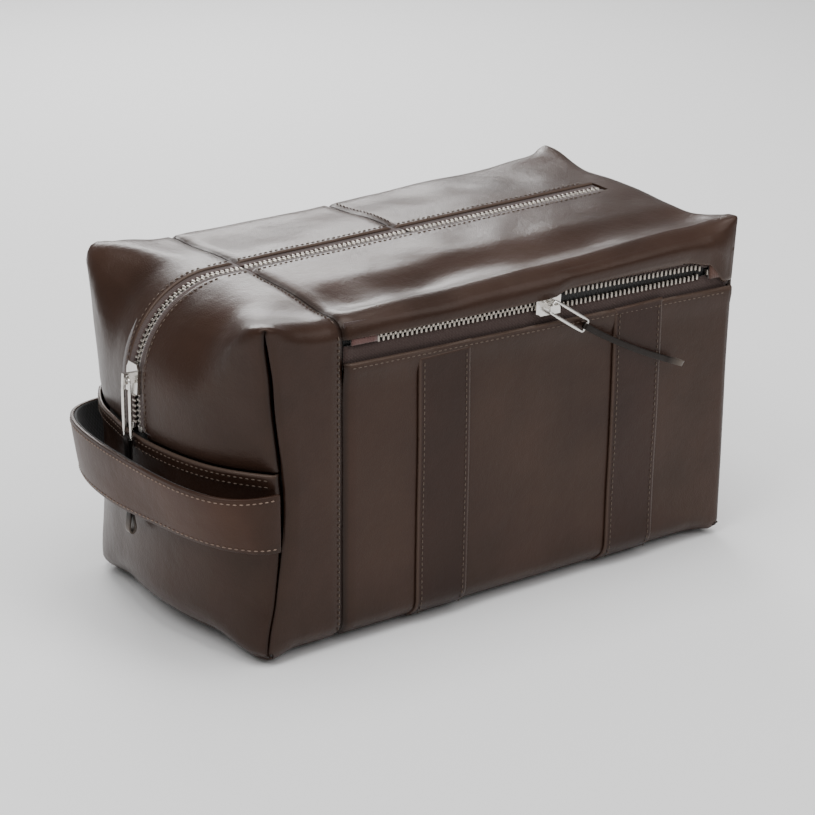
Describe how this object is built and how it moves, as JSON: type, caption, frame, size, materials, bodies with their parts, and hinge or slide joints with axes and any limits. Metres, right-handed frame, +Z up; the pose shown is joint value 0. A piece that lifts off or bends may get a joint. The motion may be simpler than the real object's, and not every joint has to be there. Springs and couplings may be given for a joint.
{
  "type": "zipped wash bag",
  "caption": "Box-shaped leather wash bag with a long zipped mouth, a zipped front pocket and a carry loop on one end to hold or hang it by.",
  "frame": {"origin": "on the resting plane, under the middle of the base panel", "axes": "+X along the bag from the end with the carry loop to the other end, +Y from the pocket side to the back, +Z up"},
  "size_m": [0.2835, 0.1467, 0.15],
  "materials": {
    "leather": "smooth, semi-gloss, dark brown",
    "band_leather": "smooth, semi-gloss, red-brown",
    "strap_leather": "smooth, lighter brown",
    "zip_tape": "woven tape",
    "lining": "black cloth",
    "nickel": "nickel plated",
    "board": "plain stiffening board"
  },
  "bodies": {
    "bag": {"corner_front": "leather", "corner_back": "leather", "near_end_lower": "leather", "far_end_panel": "leather", "back_right": "leather", "pocket_panel": "leather", "band_left": "band_leather", "band_right": "band_leather", "base_panel": "leather", "base_board": "board", "main_lining": "lining", "pocket_bag": "lining", "pocket_tape_upper": "zip_tape", "pocket_tape_lower": "zip_tape", "pocket_teeth_upper": "nickel", "pocket_teeth_lower": "nickel", "pocket_stops": "nickel", "end_tape_front": "zip_tape", "end_tape_back": "zip_tape", "end_teeth_front": "nickel", "end_teeth_back": "nickel", "end_stops": "nickel", "far_stop": "nickel", "handle_roots": "strap_leather"},
    "front_flap": {"flap_front": "leather", "flap_lining_front": "lining", "top_tape_front": "zip_tape", "top_teeth_front": "nickel"},
    "back_flap": {"flap_back_near": "leather", "flap_back_far": "leather", "flap_lining_back": "lining", "top_tape_back": "zip_tape", "top_teeth_back": "nickel"},
    "main_slider": {"main_slider": "nickel"},
    "main_bail": {"main_bail": "nickel"},
    "main_pull": {"main_pull": "band_leather"},
    "pocket_slider": {"pocket_slider": "nickel"},
    "pocket_bail": {"pocket_bail": "nickel"},
    "pocket_pull": {"pocket_pull": "band_leather"},
    "handle": {"handle_strap": "strap_leather", "handle_lining": "lining"}
  },
  "joints": [
    {"name": "front_flap_lift", "type": "hinge", "parent": "bag", "child": "front_flap", "pos_m": [0, -0.07, 0.141], "axis": [1, 0, 0], "range_deg": [0, 60]},
    {"name": "back_flap_lift", "type": "hinge", "parent": "bag", "child": "back_flap", "pos_m": [0, 0.07, 0.141], "axis": [-1, 0, 0], "range_deg": [0, 60]},
    {"name": "main_slider_run", "type": "hinge", "parent": "bag", "child": "main_slider", "pos_m": [-0.098, 0.007, 0.108], "axis": [0, 1, 0], "range_deg": [0, 84], "deforming": ["end_teeth_front", "end_teeth_back", "end_tape_front", "end_tape_back", "main_pull"]},
    {"name": "main_bail_swing", "type": "hinge", "parent": "main_slider", "child": "main_bail", "pos_m": [-0.14357, 0.007, 0.11143], "axis": [0, 1, 0], "range_deg": [0, 110]},
    {"name": "main_pull_swing", "type": "hinge", "parent": "main_bail", "child": "main_pull", "pos_m": [-0.14357, 0.007, 0.08443], "axis": [0, 1, 0], "range_deg": [0, 95]},
    {"name": "pocket_slider_run", "type": "slide", "parent": "bag", "child": "pocket_slider", "axis": [0.9993, 0, -0.0384], "range_m": [-0.076, 0.078], "deforming": ["pocket_teeth_upper", "pocket_teeth_lower"]},
    {"name": "pocket_bail_swing", "type": "hinge", "parent": "pocket_slider", "child": "pocket_bail", "pos_m": [0.01949, -0.0734, 0.13325], "axis": [-0.5736, 0, -0.8192], "range_deg": [0, 120]},
    {"name": "pocket_pull_swing", "type": "hinge", "parent": "pocket_bail", "child": "pocket_pull", "pos_m": [0.03751, -0.0734, 0.12063], "axis": [-0.5736, 0, -0.8192], "range_deg": [0, 70]},
    {"name": "handle_swing", "type": "hinge", "parent": "bag", "child": "handle", "pos_m": [-0.121, 0, 0.067], "axis": [0, 1, 0], "range_deg": [-8, 8], "deforming": ["handle_roots"]}
  ]
}
